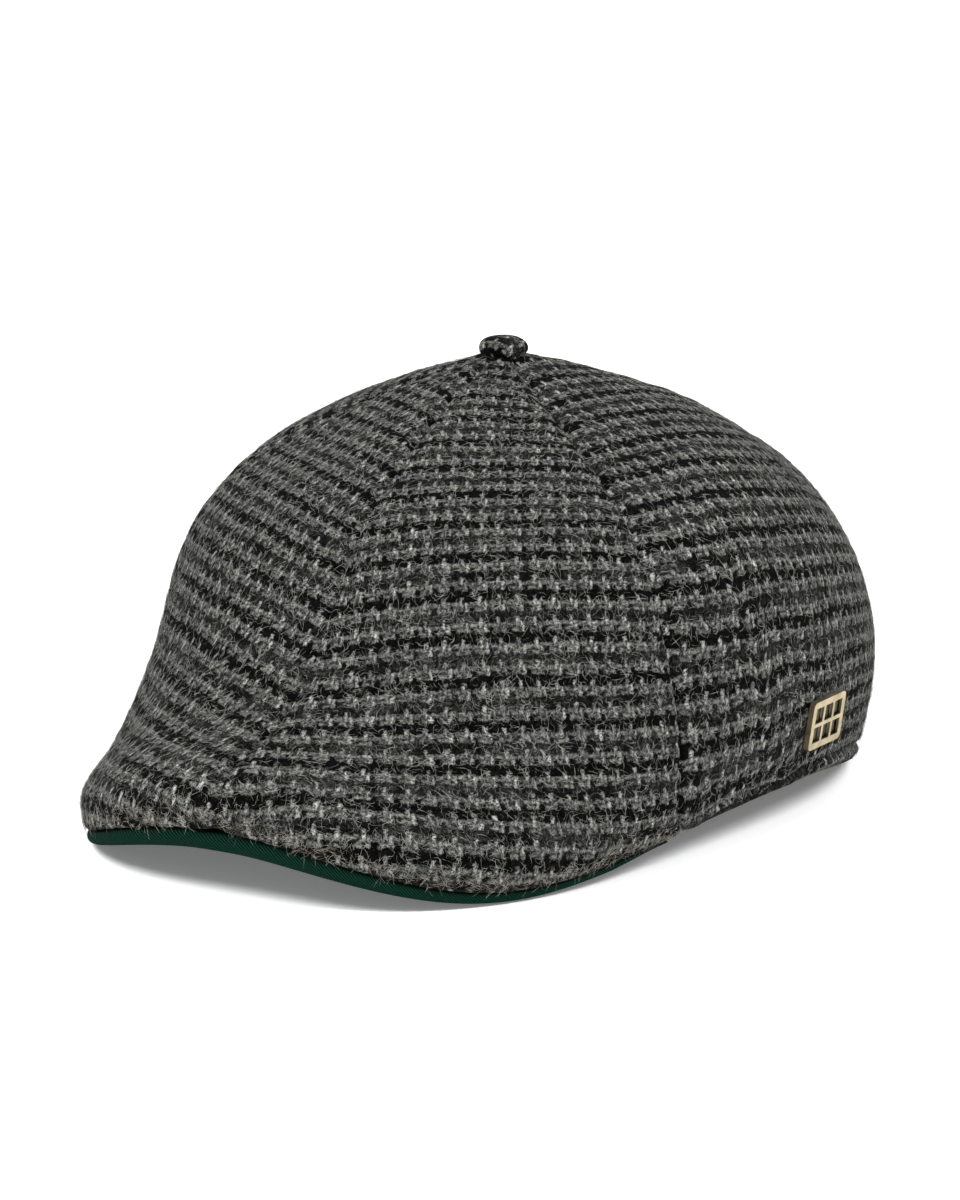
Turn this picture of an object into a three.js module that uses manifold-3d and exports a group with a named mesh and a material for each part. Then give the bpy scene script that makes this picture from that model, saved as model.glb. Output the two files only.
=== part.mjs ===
// A duckbill cap, +Z up, its visor towards -Y and the wearer's left towards +X, resting on z = 0.
// Five tweed panels make the crown. The two front ones run on down over a visor covered in twill.
// Each panel is a wall of cloth between two seams; the seams are gaps as wide as SEAM_GAP.
import * as THREE from "three";
import Module from "manifold-3d";
import { mergeVertices } from "three/addons/utils/BufferGeometryUtils.js";

const wasm = await Module();
wasm.setup();

// ---- driving dimensions, in mm and degrees ----

const CLOTH = 2.4; // a panel's wall: wool tweed with its backing
const SEAM_GAP = 0.3; // between neighbouring pieces
const PANEL_TOP = 0.022; // where the panels end under the button, as a part of the way down

// The crown's outside, one row for each ring from the button (down = 0) to the lower edge (down = 1).
// side: half-width. front, back: reach from the button's axis. middle: where the ring is widest.
// The z columns are the ring's heights: front, brow (50 degrees round), side, quarter (135), back.
// ridge: how far the front seam stands up. square: the front half's plan, 2 is an ellipse.
// sideSeam: direction of the seam between the front and the rear panel.
const RINGS = [
  { down: 0.00, side: 0.0, front: 0.0, back: 0.0, middle: 0.0, square: 2.0, ridge: 0.0, sideSeam: 61.5,
    zFront: 124.0, zBrow: 124.0, zSide: 124.0, zQuarter: 124.0, zBack: 124.0 },
  { down: 0.13, side: 24.2, front: 27.6, back: 27.4, middle: -0.3, square: 2.0, ridge: 0.0, sideSeam: 61.5,
    zFront: 115.8, zBrow: 116.0, zSide: 117.5, zQuarter: 118.4, zBack: 117.4 },
  { down: 0.27, side: 50.0, front: 53.3, back: 56.3, middle: -0.4, square: 2.0, ridge: 0.0, sideSeam: 61.5,
    zFront: 101.6, zBrow: 103.8, zSide: 107.4, zQuarter: 108.2, zBack: 106.5 },
  { down: 0.41, side: 72.5, front: 73.8, back: 84.3, middle: 1.7, square: 2.13, ridge: 0.0, sideSeam: 61.5,
    zFront: 86.8, zBrow: 89.4, zSide: 93.4, zQuarter: 92.2, zBack: 92.5 },
  { down: 0.55, side: 86.4, front: 87.6, back: 107.1, middle: 4.7, square: 2.19, ridge: 0.0, sideSeam: 61.7,
    zFront: 66.7, zBrow: 71.2, zSide: 74.9, zQuarter: 71.7, zBack: 72.0 },
  { down: 0.70, side: 92.7, front: 101.1, back: 118.9, middle: 8.2, square: 2.13, ridge: 0.7, sideSeam: 63.7,
    zFront: 49.4, zBrow: 47.1, zSide: 50.4, zQuarter: 48.3, zBack: 47.4 },
  { down: 0.84, side: 92.1, front: 121.7, back: 121.4, middle: 11.2, square: 2.46, ridge: 1.6, sideSeam: 69.6,
    zFront: 37.1, zBrow: 23.0, zSide: 29.1, zQuarter: 24.4, zBack: 23.7 },
  { down: 0.95, side: 88.2, front: 140.3, back: 118.9, middle: 13.2, square: 2.72, ridge: 2.6, sideSeam: 75.1,
    zFront: 26.0, zBrow: 9.5, zSide: 14.4, zQuarter: 6.8, zBack: 6.0 },
  { down: 1.00, side: 86.2, front: 141.3, back: 116.2, middle: 12.9, square: 2.69, ridge: 2.6, sideSeam: 76.2,
    zFront: 16.9, zBrow: 2.9, zSide: 10.9, zQuarter: 0.9, zBack: 0.0 },
];
const BROW = 50;
const QUARTER = 135;
const RIDGE_WIDTH = 22; // the front seam's ridge fades within this distance
const BACK_SEAM = 150; // direction of the seam between a rear panel and the back panel
const HEM_REST = 0.6; // an edge nearer the floor than this is pressed flat on it

// The visor: a curved board in twill under the front panels' edge, with the head opening behind it.
const VISOR_END = 74; // its ends, in degrees from the front
const VISOR_INSET = 0.8; // its edge lies this far inside the tweed's
const VISOR_LEDGE = 3.4; // level strip that the panels' edge sits on
const VISOR_THICK = { front: 5.0, end: 1.4 };
const VISOR_RISE = 10; // from the front edge back to the head opening
const OPENING = { side: 81.5, front: 98 }; // half-axes of the head opening

const BUTTON = { radius: 6.8, shank: 2.4, shankLength: 6, rim: 1.3, height: 5.4, slope: 0.17, clearance: 0.35 };

// The badge: a brass plate with six windows, over a slab of black enamel in a pocket at its back.
const BADGE = { width: 19, height: 14, thick: 1.6, corner: 1.6, border: 1.9, bar: 1.1, columns: 3, rows: 2 };
const POCKET = { border: 1.1, depth: 0.9 };
const ENAMEL_THICK = 0.5;
const BADGE_PLACE = { direction: 94.5, down: 0.845 };

// Steps of the meshes
const PANEL_ROWS = 24;
const PANEL_COLUMNS = 14;
const VISOR_COLUMNS = 48;
const VISOR_ROWS = 5;

const TWEED = new THREE.MeshStandardMaterial({ color: 0x6a6a66, roughness: 0.95, metalness: 0 });
const TWILL = new THREE.MeshStandardMaterial({ color: 0x123e2a, roughness: 0.8, metalness: 0 });
const BRASS = new THREE.MeshStandardMaterial({ color: 0xb8a070, roughness: 0.35, metalness: 1 });
const ENAMEL = new THREE.MeshStandardMaterial({ color: 0x0b0b0c, roughness: 0.25, metalness: 0 });

// ---- curves ----

// A natural cubic spline through (xs, ys).
function smoothCurve(xs, ys) {
  const last = xs.length - 1;
  const bend = new Array(last + 1).fill(0);
  const work = new Array(last + 1).fill(0);
  for (let i = 1; i < last; i++) {
    const before = xs[i] - xs[i - 1];
    const after = xs[i + 1] - xs[i];
    const share = before / (before + after);
    const pivot = share * bend[i - 1] + 2;
    const turn = (ys[i + 1] - ys[i]) / after - (ys[i] - ys[i - 1]) / before;
    bend[i] = (share - 1) / pivot;
    work[i] = ((6 * turn) / (before + after) - share * work[i - 1]) / pivot;
  }
  for (let i = last - 1; i > 0; i--) bend[i] = bend[i] * bend[i + 1] + work[i];
  return (x) => {
    let i = 1;
    while (i < last && x > xs[i]) i++;
    const step = xs[i] - xs[i - 1];
    const a = (xs[i] - x) / step;
    const b = 1 - a;
    const curved = (a ** 3 - a) * bend[i - 1] + (b ** 3 - b) * bend[i];
    return a * ys[i - 1] + b * ys[i] + (curved * step * step) / 6;
  };
}

const downs = RINGS.map((ring) => ring.down);
const column = {};
for (const name of Object.keys(RINGS[0])) column[name] = smoothCurve(downs, RINGS.map((ring) => ring[name]));

// The heights round a ring are one smooth curve, the same on both sides of the cap.
const HEIGHT_DIRECTIONS = [-90, -BROW, 0, BROW, 90, QUARTER, 180, 360 - QUARTER, 270];

function ringAt(down) {
  const ring = {};
  for (const name of Object.keys(column)) ring[name] = column[name](down);
  const { zFront, zBrow, zSide, zQuarter, zBack } = ring;
  const heights = [zSide, zBrow, zFront, zBrow, zSide, zQuarter, zBack, zQuarter, zSide];
  ring.height = smoothCurve(HEIGHT_DIRECTIONS, heights);
  return ring;
}

// A point of the crown's outside, at a direction in degrees round from the front towards the left.
function ringPoint(ring, direction) {
  const turned = ((direction + 540) % 360) - 180;
  const angle = THREE.MathUtils.degToRad(turned);
  const s = Math.sin(angle);
  const c = Math.cos(angle);
  const power = c > 0 ? 2 / ring.square : 1;
  const reach = c > 0 ? ring.front + ring.middle : ring.back - ring.middle;
  const x = ring.side * Math.sign(s) * Math.abs(s) ** power;
  const y = ring.middle - reach * Math.sign(c) * Math.abs(c) ** power;
  const ridge = ring.ridge * Math.max(c, 0) * Math.exp(-Math.abs(x) / RIDGE_WIDTH);
  const z = ring.height(Math.abs(turned)) + ridge;
  return new THREE.Vector3(x, y, z);
}

const TURN_STEP = 0.5; // degrees, for the surface's direction
const DOWN_STEP = 0.004;

// The crown's outward direction.
function outward(down, direction) {
  const here = ringAt(down);
  const above = ringAt(Math.max(down - DOWN_STEP, 0));
  const below = ringAt(Math.min(down + DOWN_STEP, 1));
  const along = ringPoint(here, direction + TURN_STEP).sub(ringPoint(here, direction - TURN_STEP));
  return ringPoint(below, direction).sub(ringPoint(above, direction)).cross(along).normalize();
}

// ---- solids ----

function closedGeometry(points, triangles) {
  const geometry = new THREE.BufferGeometry();
  geometry.setAttribute("position", new THREE.Float32BufferAttribute(points.flatMap((p) => p.toArray()), 3));
  geometry.setIndex(triangles);
  geometry.computeVertexNormals();
  return geometry;
}

// A wall between two sheets of the same grid: its faces, and strips round all four edges.
function wallBetween(outer, inner) {
  const rows = outer.length;
  const columns = outer[0].length;
  const points = [...outer.flat(), ...inner.flat()];
  const triangles = [];
  const front = (i, j) => i * columns + j;
  const behind = (i, j) => rows * columns + front(i, j);
  const quad = (a, b, c, d) => triangles.push(a, b, c, a, c, d);
  for (let i = 0; i < rows - 1; i++) {
    for (let j = 0; j < columns - 1; j++) {
      quad(front(i, j), front(i + 1, j), front(i + 1, j + 1), front(i, j + 1));
      quad(behind(i, j), behind(i, j + 1), behind(i + 1, j + 1), behind(i + 1, j));
    }
    quad(front(i, 0), behind(i, 0), behind(i + 1, 0), front(i + 1, 0));
    const right = columns - 1;
    quad(front(i, right), front(i + 1, right), behind(i + 1, right), behind(i, right));
  }
  for (let j = 0; j < columns - 1; j++) {
    quad(front(0, j), front(0, j + 1), behind(0, j + 1), behind(0, j));
    const low = rows - 1;
    quad(front(low, j), behind(low, j), behind(low, j + 1), front(low, j + 1));
  }
  return closedGeometry(points, triangles);
}

// A panel of cloth between two seams, each given as a direction for a place on the way down.
function panelGeometry(fromSeam, toSeam) {
  const outer = [];
  const inner = [];
  for (let i = 0; i <= PANEL_ROWS; i++) {
    const down = PANEL_TOP + (1 - PANEL_TOP) * (i / PANEL_ROWS);
    const ring = ringAt(down);
    const outerRow = [];
    const innerRow = [];
    for (let j = 0; j <= PANEL_COLUMNS; j++) {
      const direction = THREE.MathUtils.lerp(fromSeam(ring), toSeam(ring), j / PANEL_COLUMNS);
      const point = ringPoint(ring, direction);
      const under = point.clone().addScaledVector(outward(down, direction), -CLOTH);
      if (i === PANEL_ROWS) {
        if (point.z < HEM_REST) point.z = 0;
        under.z = point.z;
      }
      outerRow.push(point);
      innerRow.push(under);
    }
    openSeam(outerRow, innerRow);
    outer.push(outerRow);
    inner.push(innerRow);
  }
  return wallBetween(outer, inner);
}

// Draws both ends of a row in from the seam by half the gap.
function openSeam(outerRow, innerRow) {
  const last = outerRow.length - 1;
  const steps = [outerRow[1].clone().sub(outerRow[0]), outerRow[last - 1].clone().sub(outerRow[last])];
  [0, last].forEach((end, k) => {
    const shift = steps[k].setLength(SEAM_GAP / 2);
    outerRow[end].add(shift);
    innerRow[end].add(shift);
  });
}

// The board's upper and lower sheets run from its edge (row 0) back to the head opening.
function visorGeometry() {
  const edgeRing = ringAt(1);
  const upper = [];
  const lower = [];
  for (let i = 0; i <= VISOR_ROWS; i++) {
    upper.push([]);
    lower.push([]);
    for (let j = 0; j <= VISOR_COLUMNS; j++) {
      const direction = THREE.MathUtils.lerp(VISOR_END, -VISOR_END, j / VISOR_COLUMNS);
      const angle = THREE.MathUtils.degToRad(direction);
      const edge = ringPoint(edgeRing, direction);
      const inward = outward(1, direction).setZ(0).normalize().negate();
      const front = edge.clone().addScaledVector(inward, i === 0 ? VISOR_INSET : VISOR_LEDGE);
      const back = new THREE.Vector3(
        OPENING.side * Math.sin(angle), edgeRing.middle - OPENING.front * Math.cos(angle), edge.z);
      const beyond = i === 0 ? 0 : (i - 1) / (VISOR_ROWS - 1);
      const frontness = Math.cos((angle * 90) / VISOR_END) ** 2;
      const thick = THREE.MathUtils.lerp(VISOR_THICK.end, VISOR_THICK.front, frontness);
      const point = front.lerp(back, beyond);
      point.z += VISOR_RISE * frontness * beyond - SEAM_GAP;
      const under = point.clone();
      under.z = Math.max(point.z - thick, 0);
      if (under.z < HEM_REST) under.z = 0;
      upper[i].push(point);
      lower[i].push(under);
    }
  }
  return wallBetween(upper, lower);
}

function buttonGeometry() {
  const { radius, shank, shankLength, rim, height, slope, clearance } = BUTTON;
  const top = RINGS[0].zFront;
  const seat = (r) => top - slope * r + clearance;
  const profile = [
    new THREE.Vector2(0, top - shankLength),
    new THREE.Vector2(shank, top - shankLength),
    new THREE.Vector2(shank, seat(shank)),
    new THREE.Vector2(radius - rim / 2, seat(radius)),
  ];
  const rimTop = seat(radius) + 2 * rim;
  const dome = top + height - rimTop;
  const steps = 8;
  for (let i = 0; i <= steps; i++) {
    const angle = (i / steps) * (Math.PI / 2);
    profile.push(new THREE.Vector2(radius * Math.cos(angle) ** 0.7, rimTop + dome * Math.sin(angle)));
  }
  profile[profile.length - 1].x = 0;
  return new THREE.LatheGeometry(profile, 28).rotateX(Math.PI / 2);
}

function roundedPlate(width, height, corner) {
  const x = width / 2;
  const y = height / 2;
  const shape = new THREE.Shape();
  shape.moveTo(-x + corner, -y);
  shape.lineTo(x - corner, -y);
  shape.absarc(x - corner, -y + corner, corner, -Math.PI / 2, 0);
  shape.lineTo(x, y - corner);
  shape.absarc(x - corner, y - corner, corner, 0, Math.PI / 2);
  shape.lineTo(-x + corner, y);
  shape.absarc(-x + corner, y - corner, corner, Math.PI / 2, Math.PI);
  shape.lineTo(-x, -y + corner);
  shape.absarc(-x + corner, -y + corner, corner, Math.PI, 1.5 * Math.PI);
  return shape;
}

function toSolid(geometry) {
  geometry.deleteAttribute("normal");
  geometry.deleteAttribute("uv");
  const merged = mergeVertices(geometry, 1e-4);
  return new wasm.Manifold(new wasm.Mesh({
    numProp: 3,
    vertProperties: new Float32Array(merged.attributes.position.array),
    triVerts: new Uint32Array(merged.index.array),
  }));
}

function toGeometry(solid) {
  const { vertProperties, triVerts } = solid.getMesh();
  const geometry = new THREE.BufferGeometry();
  geometry.setAttribute("position", new THREE.BufferAttribute(new Float32Array(vertProperties), 3));
  geometry.setIndex(new THREE.BufferAttribute(new Uint32Array(triVerts), 1));
  geometry.computeVertexNormals();
  return geometry;
}

function boxSolid(width, height, depth, x, y, z) {
  return toSolid(new THREE.BoxGeometry(width, height, depth).translate(x, y, z + depth / 2));
}

// The badge's plate, its back on z = 0.
function badgeGeometry() {
  const { width, height, thick, corner, border, bar, columns, rows } = BADGE;
  const outline = roundedPlate(width, height, corner);
  let plate = toSolid(new THREE.ExtrudeGeometry(outline, { depth: thick, bevelEnabled: false, curveSegments: 6 }));
  plate = plate.subtract(
    boxSolid(width - 2 * POCKET.border, height - 2 * POCKET.border, 2 * POCKET.depth, 0, 0, -POCKET.depth));
  const paneWidth = (width - 2 * border - (columns - 1) * bar) / columns;
  const paneHeight = (height - 2 * border - (rows - 1) * bar) / rows;
  for (let i = 0; i < columns; i++) {
    for (let j = 0; j < rows; j++) {
      const x = (i - (columns - 1) / 2) * (paneWidth + bar);
      const y = (j - (rows - 1) / 2) * (paneHeight + bar);
      plate = plate.subtract(boxSolid(paneWidth, paneHeight, 3 * thick, x, y, -thick));
    }
  }
  return toGeometry(plate);
}

function enamelGeometry() {
  const margin = 2 * (POCKET.border + SEAM_GAP);
  return new THREE.BoxGeometry(BADGE.width - margin, BADGE.height - margin, ENAMEL_THICK)
    .translate(0, 0, POCKET.depth - SEAM_GAP - ENAMEL_THICK / 2);
}

// ---- the cap ----

function named(name, geometry, material) {
  const mesh = new THREE.Mesh(geometry, material);
  mesh.name = name;
  return mesh;
}

const seamAt = {
  front: () => 0,
  left: (ring) => ring.sideSeam,
  right: (ring) => -ring.sideSeam,
  backLeft: () => BACK_SEAM,
  backRight: () => 360 - BACK_SEAM,
  backRightTurned: () => -BACK_SEAM,
};

const cap = new THREE.Group();
cap.add(named("front_panel_left", panelGeometry(seamAt.front, seamAt.left), TWEED));
cap.add(named("front_panel_right", panelGeometry(seamAt.right, seamAt.front), TWEED));
cap.add(named("rear_panel_left", panelGeometry(seamAt.left, seamAt.backLeft), TWEED));
cap.add(named("rear_panel_right", panelGeometry(seamAt.backRightTurned, seamAt.right), TWEED));
cap.add(named("back_panel", panelGeometry(seamAt.backLeft, seamAt.backRight), TWEED));
cap.add(named("visor", visorGeometry(), TWILL));
cap.add(named("top_button", buttonGeometry(), TWEED));

// The badge lies on the left rear panel: x towards the back, y up the cloth, z outward.
const badge = new THREE.Group();
const badgeRing = ringAt(BADGE_PLACE.down);
const badgeOut = outward(BADGE_PLACE.down, BADGE_PLACE.direction);
const badgeAlong = new THREE.Vector3(0, 0, 1).cross(badgeOut).normalize();
const badgeUp = badgeOut.clone().cross(badgeAlong);
badge.setRotationFromMatrix(new THREE.Matrix4().makeBasis(badgeAlong, badgeUp, badgeOut));
badge.position.copy(ringPoint(badgeRing, BADGE_PLACE.direction)).addScaledVector(badgeOut, SEAM_GAP);
badge.add(named("badge_plate", badgeGeometry(), BRASS));
badge.add(named("badge_enamel", enamelGeometry(), ENAMEL));
cap.add(badge);

// The origin is the middle of the footprint, on the floor.
cap.updateMatrixWorld(true);
const footprint = new THREE.Box3().setFromObject(cap);
cap.position.y = -(footprint.min.y + footprint.max.y) / 2;

export default cap;
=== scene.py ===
"""The duckbill cap's looks: wool tweed panels, a twill-covered visor, a covered button and a small badge."""
import math

import bpy
import numpy as np
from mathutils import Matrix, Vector


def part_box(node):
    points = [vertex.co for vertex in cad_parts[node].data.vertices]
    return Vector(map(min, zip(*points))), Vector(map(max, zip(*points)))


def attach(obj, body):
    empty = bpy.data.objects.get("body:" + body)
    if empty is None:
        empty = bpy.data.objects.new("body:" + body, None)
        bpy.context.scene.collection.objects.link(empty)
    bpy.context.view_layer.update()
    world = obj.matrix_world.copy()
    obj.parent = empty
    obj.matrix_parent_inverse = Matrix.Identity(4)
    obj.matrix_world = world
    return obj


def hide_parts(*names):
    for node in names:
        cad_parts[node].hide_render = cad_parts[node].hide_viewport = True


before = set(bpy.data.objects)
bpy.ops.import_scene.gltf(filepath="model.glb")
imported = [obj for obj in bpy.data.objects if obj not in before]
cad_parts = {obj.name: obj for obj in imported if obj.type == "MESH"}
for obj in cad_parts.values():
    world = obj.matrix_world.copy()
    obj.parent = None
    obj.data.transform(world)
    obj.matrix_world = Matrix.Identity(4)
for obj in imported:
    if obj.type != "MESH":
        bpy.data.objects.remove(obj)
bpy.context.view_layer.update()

# ---- sizes, in millimetres and degrees; meshes are made in metres ----

MM = 0.001
button_low, button_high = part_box("top_button")
AXIS_Y = (button_low[1] + button_high[1]) / 2  # the button's axis is at x = 0

# The crown's outside, from the button (down = 0) to the lower edge (down = 1), as the CAD model has it.
RING_COLUMNS = ("down", "side", "front", "back", "middle", "square", "ridge", "side_seam",
                "z_front", "z_brow", "z_side", "z_quarter", "z_back")
RINGS = [
    (0.00, 0.0, 0.0, 0.0, 0.0, 2.00, 0.0, 61.5, 124.0, 124.0, 124.0, 124.0, 124.0),
    (0.13, 24.2, 27.6, 27.4, -0.3, 2.00, 0.0, 61.5, 115.8, 116.0, 117.5, 118.4, 117.4),
    (0.27, 50.0, 53.3, 56.3, -0.4, 2.00, 0.0, 61.5, 101.6, 103.8, 107.4, 108.2, 106.5),
    (0.41, 72.5, 73.8, 84.3, 1.7, 2.13, 0.0, 61.5, 86.8, 89.4, 93.4, 92.2, 92.5),
    (0.55, 86.4, 87.6, 107.1, 4.7, 2.19, 0.0, 61.7, 66.7, 71.2, 74.9, 71.7, 72.0),
    (0.70, 92.7, 101.1, 118.9, 8.2, 2.13, 0.7, 63.7, 49.4, 47.1, 50.4, 48.3, 47.4),
    (0.84, 92.1, 121.7, 121.4, 11.2, 2.46, 1.6, 69.6, 37.1, 23.0, 29.1, 24.4, 23.7),
    (0.95, 88.2, 140.3, 118.9, 13.2, 2.72, 2.6, 75.1, 26.0, 9.5, 14.4, 6.8, 6.0),
    (1.00, 86.2, 141.3, 116.2, 12.9, 2.69, 2.6, 76.2, 16.9, 2.9, 10.9, 0.9, 0.0),
]
# Directions are measured from the front; heights are given at these two between front, side and back.
BROW = 50
QUARTER = 135
BACK_SEAM = 150  # the direction of the seams at the back
RIDGE_WIDTH = 22  # how far the fold on the middle line reaches to each side
PANEL_TOP = 0.022  # the level of the panels' upper ends, hidden under the button
CLOTH = 2.4

# How the tweed lies on each panel: turned by tilt degrees, with its rows bowed and fanned a little.
FRONT_GRAIN = {"tilt": 4.2, "fan": 0.05, "bow": 0.13, "shift": 0.0}
REAR_GRAIN = {"tilt": -24.7, "fan": 0.16, "bow": 0.01, "shift": 2.8}
BACK_GRAIN = {"tilt": 0.0, "fan": 0.0, "bow": 0.08, "shift": 0.0}

GRAIN_UNIT = 100  # fan and bow are given for this many millimetres
GRAIN_START = 0.515  # the level of the crown from which the rows are counted

# The distance from one yarn to the next.
WARP_PITCH = 1.22
WEFT_PITCH = 1.46

# A seam is a narrow groove in a shallow valley, with a swell beside it; the lips stop short by the gap.
SEAM = {"gap": 0.004, "groove": 0.85, "groove_width": 0.9, "valley": 0.5, "valley_width": 4.5,
        "swell": 0.35, "swell_at": 5.5, "swell_width": 3.0}
# Seams run out towards the lower edge and round the button.
SEAM_FADE = {"clear": 1.5, "run_out": 6.0, "least": 0.12}
TOP_FADE = {"width": 14.0, "least": 0.25}
# Puckers lie beside the seams, and none on the seam line itself.
PUCKER = {"depth": 0.25, "shortest": 7.0, "longest": 14.0}
PUCKER_REACH = 8.0
PUCKER_CLEAR = 2.0
# The stitched hem is a crease at this height over the lower edge, fading out near the side seams.
HEM = {"height": 4.9, "groove": 1.8, "groove_width": 0.85, "swell": 0.7, "swell_width": 1.6, "run_out": 24.0}
PEAK = {"rise": 1.8, "width": 14.0}
RIPPLE = {"depth": 0.32, "shortest": 22.0, "longest": 60.0}
RIPPLE_FADE = {"run_out": 12.0, "least": 0.2}
RIPPLE_SEED = 7
INSIDE_SHARE = 0.5  # how much of a groove shows on the inside
FOLD = CLOTH / 2
FLOOR_GAP = 0.05  # nothing comes closer to the floor

# The visor ends at this direction on each side. It starts a little inside the panels' lower edge, and
# behind the ledge it rises to its rear edge, which follows the oval of the opening for the head.
VISOR_END = 74
VISOR_INSET = 0.35
VISOR_LEDGE = 3.4
VISOR_THICK = {"front": 5.0, "end": 1.4}
VISOR_RISE = 10
OPENING = {"side": 81.5, "front": 98}
PIECE_GAP = 0.3

# How finely the panels are made, and how coarsely they are laid flat.
PANEL_ROWS = 136
PANEL_COLUMNS = 93
FINE_ROWS = 360
COLUMN_CROWDING = 0.88  # towards the seams
ROW_CROWDING = 0.35  # towards the lower edge
CURL_STEPS = 9
CURL_ANGLES = np.linspace(0, math.pi, CURL_STEPS + 2)[1:-1]
FLAT_ROWS = 26
FLAT_COLUMNS = 16
FLAT_ROUNDS = 60

# The panels' map for baking, from its top: the outside, the fold and the inside, over its closing row.
BAKE = {"outside": 0.99, "outside_height": 0.71, "fold": (0.278, 0.262), "inside": 0.25,
        "inside_height": 0.22, "close": 0.02, "left": 0.01, "width": 0.95}
# The two end faces of a piece lie beside it in narrow strips.
END_STRIPS = (0.97, 0.985)
END_STRIP_WIDTH = 0.01


# ---- curves and the crown ----

def spline(xs, ys):
    """A natural cubic spline through the points, like the CAD model's."""
    xs = np.asarray(xs, float)
    ys = np.asarray(ys, float)
    count = len(xs)
    step = np.diff(xs)
    matrix = np.eye(count)
    right = np.zeros(ys.shape)
    for i in range(1, count - 1):
        matrix[i, i - 1] = step[i - 1]
        matrix[i, i] = 2 * (step[i - 1] + step[i])
        matrix[i, i + 1] = step[i]
        right[i] = 6 * ((ys[i + 1] - ys[i]) / step[i] - (ys[i] - ys[i - 1]) / step[i - 1])
    bend = np.linalg.solve(matrix, right)

    def curve(x):
        x = np.asarray(x, float)
        i = np.clip(np.searchsorted(xs, x) - 1, 0, count - 2)
        h = step[i]
        a = (xs[i + 1] - x) / h
        b = 1 - a
        return a * ys[i] + b * ys[i + 1] + ((a**3 - a) * bend[i] + (b**3 - b) * bend[i + 1]) * h**2 / 6

    return curve


ring_table = np.array(RINGS)
ring_curves = {name: spline(ring_table[:, 0], ring_table[:, k]) for k, name in enumerate(RING_COLUMNS)}
HEIGHT_DIRECTIONS = (-90, -BROW, 0, BROW, 90, QUARTER, 180, 360 - QUARTER, 270)


def crown_row(down, directions):
    """Points of the crown's outside at one level, in millimetres, the button's axis at the origin."""
    ring = {name: float(curve(down)) for name, curve in ring_curves.items()}
    turned = (np.asarray(directions, float) + 540) % 360 - 180
    s = np.sin(np.radians(turned))
    c = np.cos(np.radians(turned))
    ahead = c > 0
    power = np.where(ahead, 2 / ring["square"], 1)
    reach = np.where(ahead, ring["front"] + ring["middle"], ring["back"] - ring["middle"])
    x = ring["side"] * np.sign(s) * np.abs(s) ** power
    y = ring["middle"] - reach * np.sign(c) * np.abs(c) ** power
    side, brow, front = ring["z_side"], ring["z_brow"], ring["z_front"]
    quarter, back = ring["z_quarter"], ring["z_back"]
    height = spline(HEIGHT_DIRECTIONS, (side, brow, front, brow, side, quarter, back, quarter, side))
    ridge = ring["ridge"] * np.maximum(c, 0) * np.exp(-np.abs(x) / RIDGE_WIDTH)
    return np.stack([x, y, height(np.abs(turned)) + ridge], -1)


def crown_normal(down, direction):
    """The outward direction at one point of the crown."""
    nudge = 0.002
    turn = 0.3
    along = crown_row(down + nudge, [direction])[0] - crown_row(down - nudge, [direction])[0]
    ahead, behind = crown_row(down, [direction + turn, direction - turn])
    return unit(np.cross(along, ahead - behind))


def unit(vectors):
    """The vectors, each made one long."""
    return vectors / np.maximum(np.linalg.norm(vectors, axis=-1, keepdims=True), 1e-12)


def path_length(points, axis):
    """The length along a grid of points, from its first row or column."""
    steps = np.linalg.norm(np.diff(points, axis=axis), axis=-1)
    zero = np.zeros_like(steps[:1] if axis == 0 else steps[:, :1])
    return np.concatenate([zero, np.cumsum(steps, axis=axis)], axis=axis)


def cells(points):
    """The two edges and the area of each cell of a grid."""
    across = points[:-1, 1:] - points[:-1, :-1]
    down = points[1:, :-1] - points[:-1, :-1]
    return across, down, np.linalg.norm(np.cross(across, down), axis=-1)


def hump(distance, width):
    """1 where the distance is 0, falling to nothing over a few widths."""
    return np.exp(-(distance / width) ** 2)


def ripple(points, seed, depth, shortest, longest, waves=14):
    """Slow random rises and falls, the same on every run."""
    rng = np.random.default_rng(seed)
    total = np.zeros(points.shape[:-1])
    for _ in range(waves):
        way = unit(rng.normal(size=3))
        length = rng.uniform(shortest, longest)
        total += np.sin(points @ way * (2 * math.pi / length) + rng.uniform(0, 2 * math.pi))
    return total * depth / math.sqrt(waves)


# ---- laying a panel's cloth flat ----

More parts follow.
